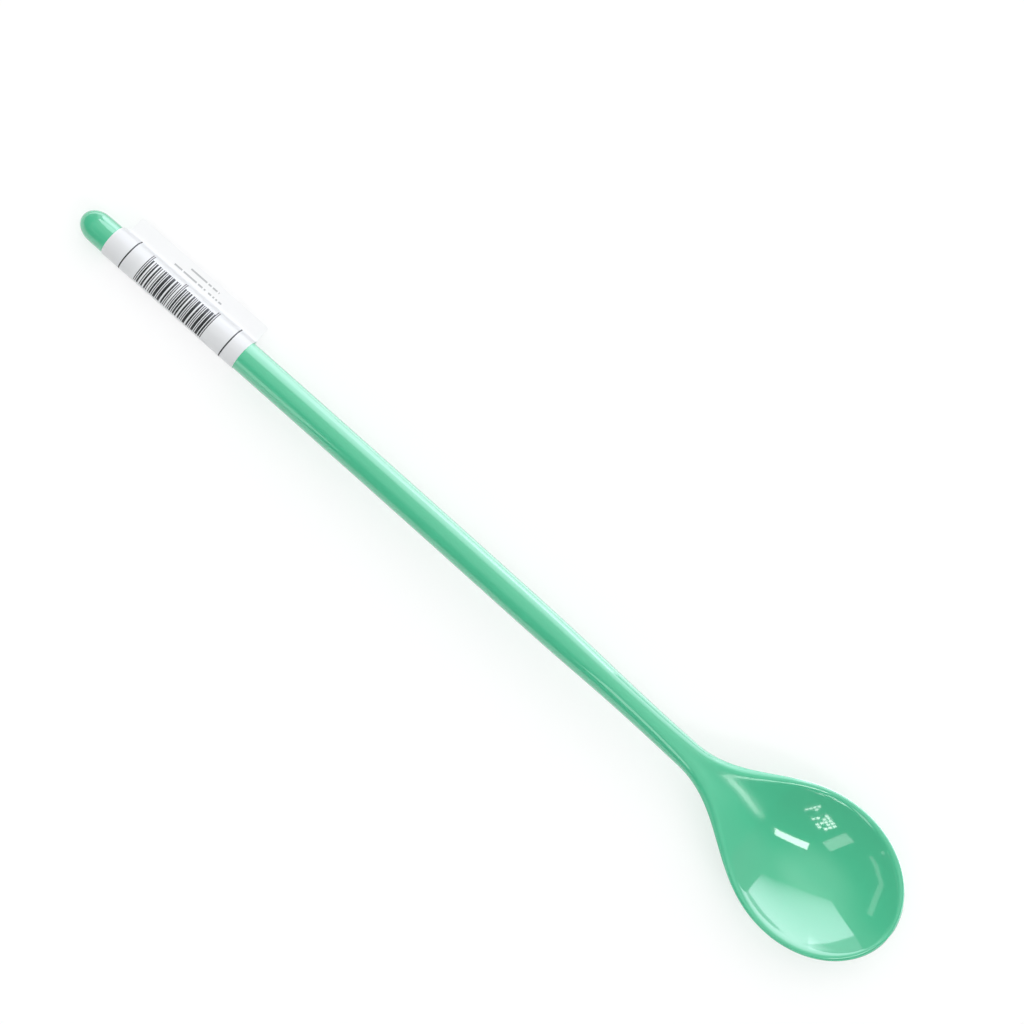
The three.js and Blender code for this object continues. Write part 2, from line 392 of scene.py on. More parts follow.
@dataclass(frozen=True)
class LabelFinish:
    """Semi-gloss white label film, painted lighter on the flag's two plies, with a plain bar block, two
    rules and lines of small dashes.
    """

    name: str = "label_film"
    film: Colour = (0.72, 0.735, 0.748, 1.0)
    # Lighter colour of the flag's two plies: partly the doubled film's own whiteness, partly painted light
    # standing in for the brighter light that falls on the flag.
    two_plies_with_painted_light: Colour = (0.86, 0.868, 0.872, 1.0)
    ink: Colour = (0.012, 0.013, 0.015, 1.0)
    grey_ink: Colour = (0.46, 0.47, 0.48, 1.0)
    roughness: float = 0.3
    ink_roughness: float = 0.38
    grain_cells: float = 2600.0
    grain_height: float = 0.002 * MM
    grain_detail: float = 2.0
    ply_blend: float = 0.8 * MM
    layout: LabelLayout = LabelLayout()

    def bars(self, bench: Bench, along: Shade, across: Shade) -> Shade:
        """Mask of the bar block, whose rhythm is only a random one.

        Args:
            bench: the material's bench.
            along: distance along the label.
            across: distance across it from the crease.

        Returns:
            1 on a bar.
        """
        layout = self.layout
        half = 0.5
        module = math.floor((along - layout.bars_start) / layout.module)
        group = math.floor(module / layout.group_modules)
        place = module - group * layout.group_modules
        rhythm = bench.node(
            "ShaderNodeTexWhiteNoise", {"noise_dimensions": "1D"}, {"W": group + layout.rhythm_seed}
        )
        parts = bench.node("ShaderNodeSeparateColor", None, {"Color": rhythm.outputs["Color"]})
        bar_start = half + math.floor(bench.shade(parts, "Red") * 2)
        bar_end = 1 + bar_start + math.floor(bench.shade(parts, "Green") * 2)
        bar = (place > bar_start) * (place < bar_end) | (place > bar_end + 1)
        middle = layout.guard_modules + layout.side_modules
        second = middle + layout.middle_modules
        last = second + layout.side_modules
        sides = module.between(layout.guard_modules - half, middle - half)
        sides = sides | module.between(second - half, last - half)
        guard_end = layout.guard_modules - 1
        guards = module.near(0, 1)
        for line in (guard_end, middle + 1, second - 2, last, last + guard_end):
            guards = guards | module.near(line, 1)
        bars = sides * bar * across.between(layout.bars_top, layout.bars_bottom)
        return bars | guards * across.between(layout.guards_top, layout.bars_bottom)

    def rules(self, along: Shade, across: Shade) -> Shade:
        """Mask of the rules round the handle, by distance along the label and across it from the crease."""
        first, second = (along.near(rule, self.layout.rule_width) for rule in self.layout.rules)
        return (first | second) * (across > 0)

    def small_print(self, bench: Bench, along: Shade, across: Shade) -> Shade:
        """Mask of the lines of dashes on the flag.

        Args:
            bench: the material's bench.
            along: distance along the label.
            across: distance across it from the crease, less than 0 on the flag.

        Returns:
            1 on a dash.
        """
        layout = self.layout
        step = math.floor(along / layout.dash)
        place = bench.node("ShaderNodeCombineXYZ", None, {"X": step, "Y": math.floor(across / MM)})
        rhythm = bench.node(
            "ShaderNodeTexWhiteNoise", {"noise_dimensions": "2D"}, {"Vector": place.outputs["Vector"]}
        )
        first, second = (
            along.between(start, end) * across.near(-out, layout.small_print_height)
            for start, end, out in layout.small_print
        )
        return (first | second) * (bench.shade(rhythm) < layout.dash_share)

    def make(self) -> bpy.types.Material:
        """Builds the material.

        Returns:
            The material for the label.
        """
        material, bench = new_material(self.name)
        flat = bench.node("ShaderNodeUVMap", {"uv_map": FLAT_MAP})
        along, across, _ = bench.split(flat.outputs["UV"])
        along = along * FLAT_MAP_SIZE
        across = across * FLAT_MAP_SIZE - FLAT_MAP_SIZE / 2
        dark = self.bars(bench, along, across) | self.rules(along, across)
        grey = self.small_print(bench, along, across)
        # The flag blends to the lighter two-ply colour, which holds painted light for the flag's brighter
        # lighting as well as its doubled film.
        film = bench.mix(bench.ease(across, 0.0, -self.ply_blend), self.film, self.two_plies_with_painted_light)
        colour = bench.mix(dark, bench.mix(grey, film, self.grey_ink), self.ink)
        grain = bench.noise(self.grain_cells, self.grain_detail)
        sockets = {
            "Base Color": colour,
            "Roughness": self.roughness + dark * (self.ink_roughness - self.roughness),
            "Normal": bench.bump(grain, self.grain_height),
        }
        bench.close(bench.node("ShaderNodeBsdfPrincipled", None, sockets).outputs["BSDF"])
        return material


@dataclass
class Section:
    """A cross-section of the spoon: half sizes, heights and how they change along it."""

    x: float
    half_width: float
    centre: float
    half_thickness: float
    dish: float
    width_slope: float
    centre_slope: float
    dish_slope: float
    fullness: float
    rim_lift: float
    rim_lift_slope: float
    rim_share: float
    rim_share_slope: float

    def sag(self, across: float) -> float:
        """Share of the dish's depth, where across goes from -1 to 1 over the width."""
        return (1 - across**2) * (1 + self.fullness * across**2)

    def height(self, across: float) -> float:
        """Height of the middle of the wall, which steepens towards the rim."""
        lift = self.rim_lift * self.nearness(across) ** RIM_POWER
        return self.centre - self.dish * self.sag(across) + lift

    def nearness(self, across: float) -> float:
        """How near a place is to the rim: 1 at the rim, less inside it."""
        return 1 - self.rim_share * (1 - across**2)

    def up(self, across: float) -> Vector:
        """Upward normal of the surface midway through the wall.

        Args:
            across: place over the width, from -1 to 1.

        Returns:
            The normal, of length 1.
        """
        sag_slope = -2 * across * (1 - self.fullness + 2 * self.fullness * across**2)
        nearness = self.nearness(across)
        steepening = self.rim_lift * RIM_POWER * nearness ** (RIM_POWER - 1)
        across_slope = steepening * 2 * across * self.rim_share - self.dish * sag_slope
        along_slope = (
            self.centre_slope
            - self.dish_slope * self.sag(across)
            + self.rim_lift_slope * nearness**RIM_POWER
            - steepening * (1 - across**2) * self.rim_share_slope
        )
        return Vector((
            self.width_slope * across * across_slope - self.half_width * along_slope,
            -across_slope,
            self.half_width,
        )).normalized()

    def skin(self, turn: float) -> Vector:
        """Point of the skin: an ellipse on the handle, an even wall with a rounded lip in the bowl.

        Args:
            turn: angle round the section, from the +Y side over the top.

        Returns:
            The point, never below the surface that the spoon lies on.
        """
        across = math.cos(turn)
        bluntness = 2 * self.half_width / self.half_thickness
        roundness = math.sqrt(1 - abs(across) ** bluntness)
        offset = math.copysign(self.half_thickness * roundness, math.sin(turn))
        point = Vector((self.x, self.half_width * across, self.height(across)))
        point += self.up(across) * offset
        point.z = max(point.z, 0.0)
        return point


@dataclass
class Spoon:
    """The moulding: a slim arched handle that flows into a deep bowl with a rounded lip."""

    start: float
    length: float
    bowl_width: float
    end_dome: float = 6 * MM
    taper_length: float = 51 * MM
    neck_length: float = 11.5 * MM
    shoulder_length: float = 49 * MM
    tip_length: float = 27.5 * MM
    handle_width: float = 9.3 * MM
    neck_width: float = 8 * MM
    shoulder_neck_pull: float = 18.7 * MM
    shoulder_bowl_pull: float = 21.5 * MM
    handle_height: float = 8.8 * MM
    rise_angle: float = math.radians(6.6)
    crest_from_end: float = 190 * MM
    dip_length: float = 76 * MM
    thinning_length: float = 75 * MM
    thinning_lead: float = 27 * MM
    neck_lift: float = 2.2 * MM
    neck_hollow: float = 1.25 * MM
    neck_rise_length: float = 40 * MM
    neck_fall_length: float = 31 * MM
    neck_fall_margin: float = 1.5 * MM
    bowl_depth: float = 10 * MM
    bowl_fullness: float = -0.2
    rim_lift: float = 0.75 * MM
    wall: float = 2.6 * MM
    rest_flat_depth: float = 0.35 * MM
    ring_sides: int = 72
    ring_steps: tuple[int, ...] = (8, 26, 12, 5, 36, 26)
    side_layer: str = "side"

    @cached_property
    def lip_radius(self) -> float:
        """Radius of the rounded lip."""
        return self.wall / 2

    @cached_property
    def lip_overhang(self) -> float:
        """How far the lip stands outside the end of the wall's middle line, which slopes at the rim."""
        rim_rise = 2 * (1 + self.bowl_fullness) * self.bowl_depth + 2 * RIM_POWER * self.rim_lift
        rim_slope = math.atan2(rim_rise, self.bowl_width / 2)
        steepness = math.sin(rim_slope)
        fade = (math.hypot(1, 2 * steepness) - 1) / (2 * steepness**2)
        return self.lip_radius * (math.log(fade) / 2 + steepness * math.sqrt(1 - fade))

    @cached_property
    def bowl_half(self) -> float:
        """Half width of the bowl's middle surface."""
        return self.bowl_width / 2 - self.lip_overhang

    @cached_property
    def tip_reach(self) -> float:
        """Length of the bowl's middle surface past its widest line."""
        return self.tip_length - self.lip_overhang

    @cached_property
    def widest_line(self) -> float:
        """Distance of the bowl's widest line from the end of the handle."""
        return self.length - self.tip_length

    @cached_property
    def shoulder_start(self) -> float:
        """Distance of the neck's end from the end of the handle."""
        return self.widest_line - self.shoulder_length

    @cached_property
    def neck_start(self) -> float:
        """Distance of the neck's start from the end of the handle."""
        return self.shoulder_start - self.neck_length

    @cached_property
    def end_height(self) -> float:
        """Height of the middle of the handle's end, which touches the surface below."""
        drop = math.tan(self.rise_angle) * self.end_dome
        return math.hypot(self.handle_height / 2 * math.cos(self.rise_angle), drop) - drop

    @cached_property
    def crest_height(self) -> float:
        """Height of the middle of the handle at its crest."""
        return self.end_height + math.tan(self.rise_angle) * self.crest_from_end / 2

    @cached_property
    def rim_height(self) -> float:
        """Height of the middle of the bowl's lip."""
        return self.bowl_depth + self.lip_radius - self.rest_flat_depth

    @cached_property
    def outline(self) -> list[tuple[Point, ...]]:
        """Half of the outline from above, as cubic curves: end, handle, taper, neck, shoulder and tip."""
        round_pull = 4 / 3 * (math.sqrt(2) - 1)
        handle = self.handle_width / 2
        neck = self.neck_width / 2
        bowl = self.bowl_half
        taper = self.neck_start - self.taper_length
        half_taper = self.taper_length / 2
        tip = self.widest_line + self.tip_reach
        third = (taper - self.end_dome) / 3
        neck_third = self.neck_length / 3
        return [
            (
                (0.0, 0.0),
                (0.0, handle * round_pull),
                (self.end_dome * (1 - round_pull), handle),
                (self.end_dome, handle),
            ),
            level_curve((self.end_dome, handle), (taper, handle), third, third),
            level_curve((taper, handle), (self.neck_start, neck), half_taper, half_taper),
            level_curve((self.neck_start, neck), (self.shoulder_start, neck), neck_third, neck_third),
            level_curve(
                (self.shoulder_start, neck),
                (self.widest_line, bowl),
                self.shoulder_neck_pull,
                self.shoulder_bowl_pull,
            ),
            (
                (self.widest_line, bowl),
                (self.widest_line + self.tip_reach * round_pull, bowl),
                (tip, bowl * round_pull),
                (tip, 0.0),
            ),
        ]

    def half_width(self, x: float) -> float:
        """Half width of the outline, found by halving the stretch of curve that x lies in.

        Args:
            x: distance from the end of the handle.

        Returns:
            The half width there.
        """
        curve = next((piece for piece in self.outline if x <= piece[-1][0]), self.outline[-1])
        low, high = 0.0, 1.0
        for _ in range(HALVINGS):
            middle = (low + high) / 2
            if bezier(curve, middle)[0] < x:
                low = middle
            else:
                high = middle
        return bezier(curve, high)[1]

    def neck_share(self, x: float) -> float:
        """Share of the neck's lift and hollow: it swells towards the shoulder and is gone at the bowl.

        Args:
            x: distance from the end of the handle.

        Returns:
            The share there, from 0 to 1.
        """
        swell_end = self.widest_line - self.neck_fall_length - self.neck_fall_margin
        swell = smoothstep(x, swell_end - self.neck_rise_length, swell_end)
        return swell * (1 - smoothstep(x, swell_end, swell_end + self.neck_fall_length))

    def centre_height(self, x: float) -> float:
        """Height of the middle of the section: a parabola up to the crest, then a soft dip to the rim.

        Args:
            x: distance from the end of the handle.

        Returns:
            The height there.
        """
        if x < self.crest_from_end:
            to_crest = 1 - x / self.crest_from_end
            return self.crest_height - (self.crest_height - self.end_height) * to_crest**2
        dip = smoothstep(x, self.crest_from_end, self.crest_from_end + self.dip_length)
        return lerp(self.crest_height, self.rim_height, dip) + self.neck_lift * self.neck_share(x)

    def half_thickness(self, x: float) -> float:
        """Half thickness: round handle, thinning to the bowl's wall, rounded off at both ends.

        Args:
            x: distance from the end of the handle.

        Returns:
            The half thickness there.
        """
        thin_start = self.neck_start - self.thinning_lead
        thinning = smoothstep(x, thin_start, thin_start + self.thinning_length)
        half = lerp(self.handle_height / 2, self.lip_radius, thinning)
        if x < self.end_dome:
            return half * math.sqrt(1 - (1 - x / self.end_dome) ** 2)
        if x < self.widest_line:
            return half
        to_tip = min((x - self.widest_line) / self.tip_reach, 1.0)
        return half * math.sqrt(1 - to_tip ** (2 * self.tip_reach / self.lip_radius))

    def dish_depth(self, x: float) -> float:
        """Depth of the dish, which grows with the square of the width.

        Args:
            x: distance from the end of the handle.

        Returns:
            The depth below the rim, to the middle of the wall.
        """
        hollow = self.neck_hollow * self.neck_share(x)
        if x < self.shoulder_start:
            return hollow
        neck_square = (self.neck_width / 2) ** 2 if x < self.widest_line else 0.0
        share = (self.half_width(x) ** 2 - neck_square) / (self.bowl_half**2 - neck_square)
        return hollow + self.bowl_depth * share * (1 + self.bowl_fullness * (1 - share))

    def rim_lift_at(self, x: float) -> float:
        """How much the rim is lifted by its steeper edge, growing from the neck to the widest line."""
        return self.rim_lift * smoothstep(x, self.shoulder_start, self.widest_line)

    def rim_share(self, x: float) -> float:
        """Share of the full width over which the wall runs in from the rim, less than 1 towards the tip."""
        return 1.0 if x < self.widest_line else (self.half_width(x) / self.bowl_half) ** 2

    def section(self, x: float) -> Section:
        """The section at a distance from the end of the handle, placed in the frame."""
        return Section(
            x=self.start + x,
            half_width=self.half_width(x),
            centre=self.centre_height(x),
            half_thickness=self.half_thickness(x),
            dish=self.dish_depth(x),
            width_slope=slope_of(self.half_width, x),
            centre_slope=slope_of(self.centre_height, x),
            dish_slope=slope_of(self.dish_depth, x),
            fullness=self.bowl_fullness,
            rim_lift=self.rim_lift_at(x),
            rim_lift_slope=slope_of(self.rim_lift_at, x),
            rim_share=self.rim_share(x),
            rim_share_slope=slope_of(self.rim_share, x),
        )

    def ring_places(self) -> list[float]:
        """Distances of the rings from the end of the handle, closer together where the outline turns."""
        return [
            bezier(curve, step / steps)[0]
            for curve, steps in zip(self.outline, self.ring_steps)
            for step in range(1, steps + 1)
        ]

    def place_ring(self, piece: bpy.types.Object, point_at: Callable[[int], Vector]) -> None:
        """Moves the selected ring of vertices to its places.

        Args:
            piece: the spoon, in edit mode.
            point_at: the place for each side's number.
        """
        mesh = bmesh.from_edit_mesh(piece.data)
        side = mesh.verts.layers.int[self.side_layer]
        for vertex in mesh.verts:
            if vertex.select:
                vertex.co = point_at(vertex[side])
        bmesh.update_edit_mesh(piece.data)

    def extrude_ring(self, piece: bpy.types.Object, step: float, section: Section) -> None:
        """Extrudes the selected ring by a step along the spoon and shapes it to the section there."""
        bpy.ops.mesh.extrude_region_move(TRANSFORM_OT_translate={"value": (step, 0, 0)})
        self.place_ring(piece, lambda number: section.skin(self.turn_of(number)))

    def close_end(self, piece: bpy.types.Object, x: float) -> None:
        """Draws the selected ring in to a point of the spoon's end.

        Args:
            piece: the spoon, in edit mode.
            x: distance of the point from the end of the handle.
        """
        point = Vector((self.start + x, 0, self.centre_height(x) + self.rim_lift_at(x)))
        bpy.ops.mesh.extrude_region_move()
        self.place_ring(piece, lambda number: point)
        bpy.ops.mesh.merge(type="CENTER")

    def turn_of(self, number: int) -> float:
        """Angle of a side's number round the section."""
        return 2 * math.pi * number / self.ring_sides

    def build(self) -> bpy.types.Object:
        """Models the spoon from a circle that is extruded ring by ring, closed and smoothed.

        Returns:
            The spoon's object.
        """
        *places, tip = self.ring_places()
        sections = [self.section(x) for x in places]
        deselect_all()
        bpy.ops.mesh.primitive_circle_add(
            vertices=self.ring_sides,
            radius=sections[0].half_width,
            location=(sections[0].x, 0, sections[0].centre),
            rotation=(0, math.pi / 2, 0),
        )
        piece = start_edit("mint_spoon")
        mesh = bmesh.from_edit_mesh(piece.data)
        side = mesh.verts.layers.int.new(self.side_layer)
        for number, vertex in enumerate(mesh.verts):
            vertex[side] = number
        self.place_ring(piece, lambda number: sections[0].skin(self.turn_of(number)))
        for before, section in zip(sections, sections[1:]):
            self.extrude_ring(piece, section.x - before.x, section)
        self.close_end(piece, tip)
        self.select_open_ring(piece)
        self.close_end(piece, 0.0)
        bpy.ops.mesh.select_all(action="SELECT")
        bpy.ops.mesh.normals_make_consistent(inside=False)
        bpy.ops.object.mode_set(mode="OBJECT")
        piece.data.attributes.remove(piece.data.attributes[self.side_layer])
        apply_modifier(piece, "SUBSURF", levels=1, render_levels=1)
        bpy.ops.object.shade_smooth()
        return piece

    def select_open_ring(self, piece: bpy.types.Object) -> None:
        """Selects the ring that is still open.

        Args:
            piece: the spoon, in edit mode.
        """
        bpy.ops.mesh.select_all(action="DESELECT")
        mesh = bmesh.from_edit_mesh(piece.data)
        for edge in mesh.edges:
            if edge.is_boundary:
                edge.select_set(True)
        bmesh.update_edit_mesh(piece.data)

    def dress(self, piece: bpy.types.Object, finish: MelamineFinish) -> None:
        """Gives the spoon its finish and its place in the frame.

        Args:
            piece: the spoon's object.
            finish: the finish of its surface.
        """
        piece.data.materials.append(finish.make())
        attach(piece, BODY)
        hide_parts(SPOON_NODE)


@dataclass
class FlagLabel:
    """One strip of film round the handle, its two ends stuck face to face as a flag."""

    spoon: Spoon
    flag_edge: float
    from_end: float = 11.3 * MM
    length: float = 49.8 * MM
    film: float = 0.1 * MM
    adhesive_gap: float = 0.04 * MM
    flag_setback: float = 1.7 * MM
    setback_blend: float = 0.8 * MM
    flag_corner: float = 1 * MM
    leave_turn: float = math.radians(20)
    crease_width: float = 1.4 * MM
    crease_pull: float = 0.75
    along_steps: int = 72
    flag_steps: int = 16
    crease_steps: int = 8
    wrap_steps: int = 72
    smooth_angle: float = math.radians(40)

    @cached_property
    def outer_end(self) -> float:
        """Place of the wrap's end that is nearer the end of the handle."""
        return self.spoon.start + self.from_end

    @cached_property
    def inner_end(self) -> float:
        """Place of the wrap's end that is nearer the bowl."""
        return self.outer_end + self.length

    @cached_property
    def half_width(self) -> float:
        """Half width of the wrap, at the middle of the film."""
        return self.spoon.handle_width / 2 + self.adhesive_gap + self.film / 2

    @cached_property
    def half_height(self) -> float:
        """Half height of the wrap, at the middle of the film."""
        return self.spoon.handle_height / 2 + self.adhesive_gap + self.film / 2

    @cached_property
    def upper_half(self) -> list[Point]:
        """Upper half of the strip's profile, from the flag's edge over the crease to the far side."""
        ply = self.film / 2 + self.adhesive_gap / 2
        meet = self.half_width + self.crease_width
        turn = self.leave_turn
        leave = (self.half_width * math.cos(turn), self.half_height * math.sin(turn))
        corner = self.half_width / math.cos(turn)
        curve = (
            (meet, ply),
            (lerp(meet, corner, self.crease_pull), ply),
            (lerp(leave[0], corner, self.crease_pull), lerp(leave[1], ply, self.crease_pull)),
            leave,
        )
        flag = [
            (lerp(self.flag_edge, meet, step / self.flag_steps), ply) for step in range(self.flag_steps)
        ]
        crease = [bezier(curve, step / self.crease_steps) for step in range(self.crease_steps)]
        turns = [
            lerp(turn, math.pi, step / self.wrap_steps) for step in range(self.wrap_steps + 1)
        ]
        wrap = [(self.half_width * math.cos(t), self.half_height * math.sin(t)) for t in turns]
        return flag + crease + wrap

    @cached_property
    def profile(self) -> list[Point]:
        """The whole strip's profile, from the upper ply's edge round the handle to the lower ply's edge."""
        return self.upper_half + [(y, -z) for y, z in reversed(self.upper_half[:-1])]

    @cached_property
    def flat_across(self) -> list[float]:
        """Distance of each profile point across the flat strip, from the upper crease."""
        distances = [0.0]
        for before, after in zip(self.profile, self.profile[1:]):
            distances.append(distances[-1] + math.dist(before, after))
        crease = distances[self.flag_steps + self.crease_steps // 2]
        return [distance - crease for distance in distances]

    @cached_property
    def flat_size(self) -> Point:
        """Length and width of the strip before it was wrapped."""
        return self.length, self.flat_across[-1] - self.flat_across[0]

    def ends_at(self, y: float) -> Point:
        """Where the strip starts and ends along the handle: the flag is set back and has rounded corners.

        Args:
            y: distance from the handle's middle line.

        Returns:
            The two places along X.
        """
        setback = self.flag_setback * smoothstep(
            y, self.half_width, self.half_width + self.setback_blend
        )
        into_corner = max(y - (self.flag_edge - self.flag_corner), 0.0)
        rounding = self.flag_corner - math.sqrt(max(self.flag_corner**2 - into_corner**2, 0.0))
        return self.outer_end + setback + rounding, self.inner_end - rounding

    def wrapped(self, row: int, share: float) -> Vector:
        """Place of a point of the strip once it is stuck round the handle.

        Args:
            row: number of the profile point.
            share: share of the way along the strip there.

        Returns:
            The place in the frame.
        """
        y, z = self.profile[row]
        x = lerp(*self.ends_at(y), share)
        section = self.spoon.section(x - self.spoon.start)
        return Vector((x, y, section.centre)) + section.up(0.0) * z

    def build(self) -> bpy.types.Object:
        """Models the label from a flat grid that is wrapped round the handle and given its thickness.

        Returns:
            The label's object.
        """
        length, width = self.flat_size
        rows = len(self.profile)
        deselect_all()
        bpy.ops.mesh.primitive_grid_add(
            x_subdivisions=self.along_steps, y_subdivisions=rows - 1, size=1
        )
        piece = bpy.context.object
        piece.scale = (length, width, 1)
        start_edit("film_label")
        mesh = bmesh.from_edit_mesh(piece.data)
        flat_map = mesh.loops.layers.uv.verify()
        for vertex in mesh.verts:
            row = round((vertex.co.y / width + 0.5) * (rows - 1))
            share = round((vertex.co.x / length + 0.5) * self.along_steps) / self.along_steps
            place = self.wrapped(row, share)
            flat = Vector((
                (place.x - self.outer_end) / FLAT_MAP_SIZE,
                self.flat_across[row] / FLAT_MAP_SIZE + 0.5,
            ))
            for loop in vertex.link_loops:
                loop[flat_map].uv = flat
            vertex.co = place
        bmesh.update_edit_mesh(piece.data)
        self.face_outwards(piece)
        bpy.ops.object.mode_set(mode="OBJECT")
        piece.data.uv_layers[0].name = FLAT_MAP
        apply_modifier(piece, "SOLIDIFY", thickness=self.film, offset=0.0)
        bpy.ops.object.shade_smooth_by_angle(angle=self.smooth_angle)
        return piece

    def face_outwards(self, piece: bpy.types.Object) -> None:
        """Turns the film's printed face outwards.

        Args:
            piece: the label, in edit mode.
        """
        mesh = bmesh.from_edit_mesh(piece.data)
        mesh.normal_update()
        top = max(mesh.faces, key=lambda face: face.calc_center_median().z)
        if top.normal.z < 0:
            bpy.ops.mesh.flip_normals()

    def dress(self, piece: bpy.types.Object, finish: LabelFinish) -> None:
        """Gives the label its finish and its place in the frame.

        Args:
            piece: the label's object.
            finish: the finish of its surface.
        """
        piece.data.materials.append(finish.make())
        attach(piece, BODY)
        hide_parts(LABEL_NODE)


@dataclass(frozen=True)
class FloorFinish:
    """White studio floor that keeps the object's shadow."""

    name: str = "white_floor"
    colour: Colour = (0.98, 0.98, 0.98, 1.0)
    glow: float = 0.55

    def make(self) -> bpy.types.Material:
        """Builds the material.

        Returns:
            The material for the floor.
        """
        material, bench = new_material(self.name)
        path = bench.node("ShaderNodeLightPath")
        seen = (
            bench.shade(path, "Is Camera Ray")
            | bench.shade(path, "Is Glossy Ray")
            | bench.shade(path, "Is Transmission Ray")
        )
        matte = bench.node("ShaderNodeBsdfDiffuse", None, {"Color": self.colour})
        white = bench.node("ShaderNodeEmission", None, {"Strength": 1.0})
        body = bench.node(
            "ShaderNodeMixShader",
            None,
            {0: seen * self.glow, 1: matte.outputs["BSDF"], 2: white.outputs["Emission"]},
        )
        bench.close(body.outputs["Shader"])
        return material


class Role(Enum):
    """What a lamp does for the spoon: lights it, shows in its gloss, or both."""

    BOTH = "both"
    FILL = "fill"
    GLOSS = "gloss"


@dataclass
class Lamp:
    """A rectangular lamp, given by a corner and two square edges, that shines towards the spoon."""

    name: str
    corner: Place
    long_edge: Place
    short_edge: Place
    brightness: float
    tint: Place = (1.0, 1.0, 1.0)
    casts_shadow: bool = True
    role: Role = Role.BOTH
    aim: Place = (0.0, 0.0, 0.01)

    def hang(self) -> None:
        """Adds the lamp."""
        long_edge = Vector(self.long_edge)
        short_edge = Vector(self.short_edge)
        centre = Vector(self.corner) + (long_edge + short_edge) / 2
        light = bpy.data.lights.new(self.name, "AREA")
        light.shape = "RECTANGLE"
        light.size = long_edge.length
        light.size_y = short_edge.length
        light.energy = self.brightness * math.pi * long_edge.length * short_edge.length
        light.color = self.tint
        light.use_shadow = self.casts_shadow
        along = long_edge.normalized()
        across = short_edge.normalized()
        back = along.cross(across)
        turned = back.dot(centre - Vector(self.aim)) < 0
        if turned:
            along = -along
            back = -back
        lamp = bpy.data.objects.new(self.name, light)
        lamp.matrix_world = Matrix.Translation(centre) @ Matrix((along, across, back)).transposed().to_4x4()
        lamp.visible_camera = False
        lamp.visible_diffuse = self.role is not Role.GLOSS
        lamp.visible_glossy = self.role is not Role.FILL
        bpy.context.scene.collection.objects.link(lamp)
        self.grade(light, turned)

    def grade(self, light: bpy.types.Light, turned: bool) -> None:
        """Lets the brightness change over the lamp's face.

        Args:
            light: the lamp's light.
            turned: whether its own axis runs against the long edge.
        """
        light.use_nodes = True
        bench = Bench(light.node_tree)
        along, across, _ = bench.split(bench.node("ShaderNodeNewGeometry").outputs["Parametric"])
        share = self.share(bench, 1 - along if turned else along, across)
        glow = bench.node("ShaderNodeEmission", None, {"Strength": share})
        bench.close(glow.outputs["Emission"], "ShaderNodeOutputLight")

    def share(self, bench: Bench, along: Shade, across: Shade) -> Shade | float:
        """Share of the full brightness at a place along both edges: all of it on a plain lamp."""
        return 1.0


@dataclass
class Window(Lamp):
    """A tall window, brightest low down near its corner, with slanting ends and a raised sill."""

    top_share: float = 0.175
    far_fall: float = 0.393
    hidden_along: float = 0.275
    hidden_across: float = 0.385
    sill: float = 0.10
    sill_rise: float = 0.06
    below_share: float = 0.22
    top_fade: float = 0.86
    far_start: float = 0.524
    far_lean: float = 0.541

    def share(self, bench: Bench, along: Shade, across: Shade) -> Shade | float:
        """Share of the full brightness at a place.

        Args:
            bench: the light's bench.
            along: place along the sill, from 0 to 1.
            across: place up the window, from 0 to 1.

        Returns:
            The share there.
        """
        open_share = (along / self.hidden_along + across / self.hidden_across > 1) * (
            across > self.sill + self.sill_rise * along
        )
        open_share = open_share | self.below_share
        share = 1 - (1 - self.top_share) * across - self.far_fall * along
        seen = (along < self.far_start + self.far_lean * across) * bench.ease(across, 1.0, self.top_fade)
        return seen * open_share * (share | 0.0)


@dataclass
class LowStrip(Lamp):
    """A low strip of light along the handle, whose top slants down to an even height."""

    low_top: float = 0.62
    slant: float = 0.74
    even_share: float = 0.45

    def share(self, bench: Bench, along: Shade, across: Shade) -> Shade | float:
        """Share of the full brightness at a place from 0 to 1 along the strip and up it."""
        top = 1 - along * (1 - self.low_top) / self.slant | self.low_top
        return bench.ease(across / top, 1.0, self.even_share)


@dataclass
class PanedLamp(Lamp):
    """A far lamp behind panes, of which some are lit."""

    columns: int = 9
    rows: int = 4
    pane_share: float = 0.72
    lit_share: float = 0.66
    gap: Point = (0.56, 0.77)
    seed: float = 3.0

    def share(self, bench: Bench, along: Shade, across: Shade) -> Shade | float:
        """Share of the full brightness at a place.

        Args:
            bench: the light's bench.
            along: place along the long edge, from 0 to 1.
            across: place along the short edge, from 0 to 1.

        Returns:
            The share there.
        """
        column = math.floor(along * self.columns)
        row = math.floor(across * self.rows)
        in_pane = (along * self.columns - column < self.pane_share) * (
            across * self.rows - row < self.pane_share
        )
        cell = column + row * self.columns + self.seed
        chance = bench.node("ShaderNodeTexWhiteNoise", {"noise_dimensions": "1D"}, {"W": cell})
        return in_pane * (bench.shade(chance) < self.lit_share) * (1 - along.between(*self.gap))


@dataclass
class Viewpoint:
    """The camera: a long lens nearly straight above, turned so that the handle points up to the left."""

    lens: float = 100.0
    sensor: float = 36.0
    tilt: float = math.radians(9.427)
    lean: float = math.radians(0.3793)
    roll: float = math.radians(42.1221)
    distance: float = 0.802
    target: Place = (-0.0059, 0.0182, 0.010)

    def place(self) -> None:
        """Adds the camera and makes it the scene's own."""
        back = Vector((
            math.sin(self.lean) * math.cos(self.tilt),
            -math.sin(self.tilt),
            math.cos(self.lean) * math.cos(self.tilt),
        )).normalized()
        level = (Vector((1, 0, 0)) - back * back.x).normalized()
        upright = back.cross(level)
        right = level * math.cos(self.roll) + upright * math.sin(self.roll)
        up = upright * math.cos(self.roll) - level * math.sin(self.roll)
        data = bpy.data.cameras.new("camera")
        data.lens = self.lens
        data.sensor_width = self.sensor
        camera = bpy.data.objects.new("camera", data)
        turn = Matrix((right, up, back)).transposed().to_4x4()
        camera.matrix_world = Matrix.Translation(Vector(self.target) + back * self.distance) @ turn
        bpy.context.scene.collection.objects.link(camera)
        bpy.context.scene.camera = camera


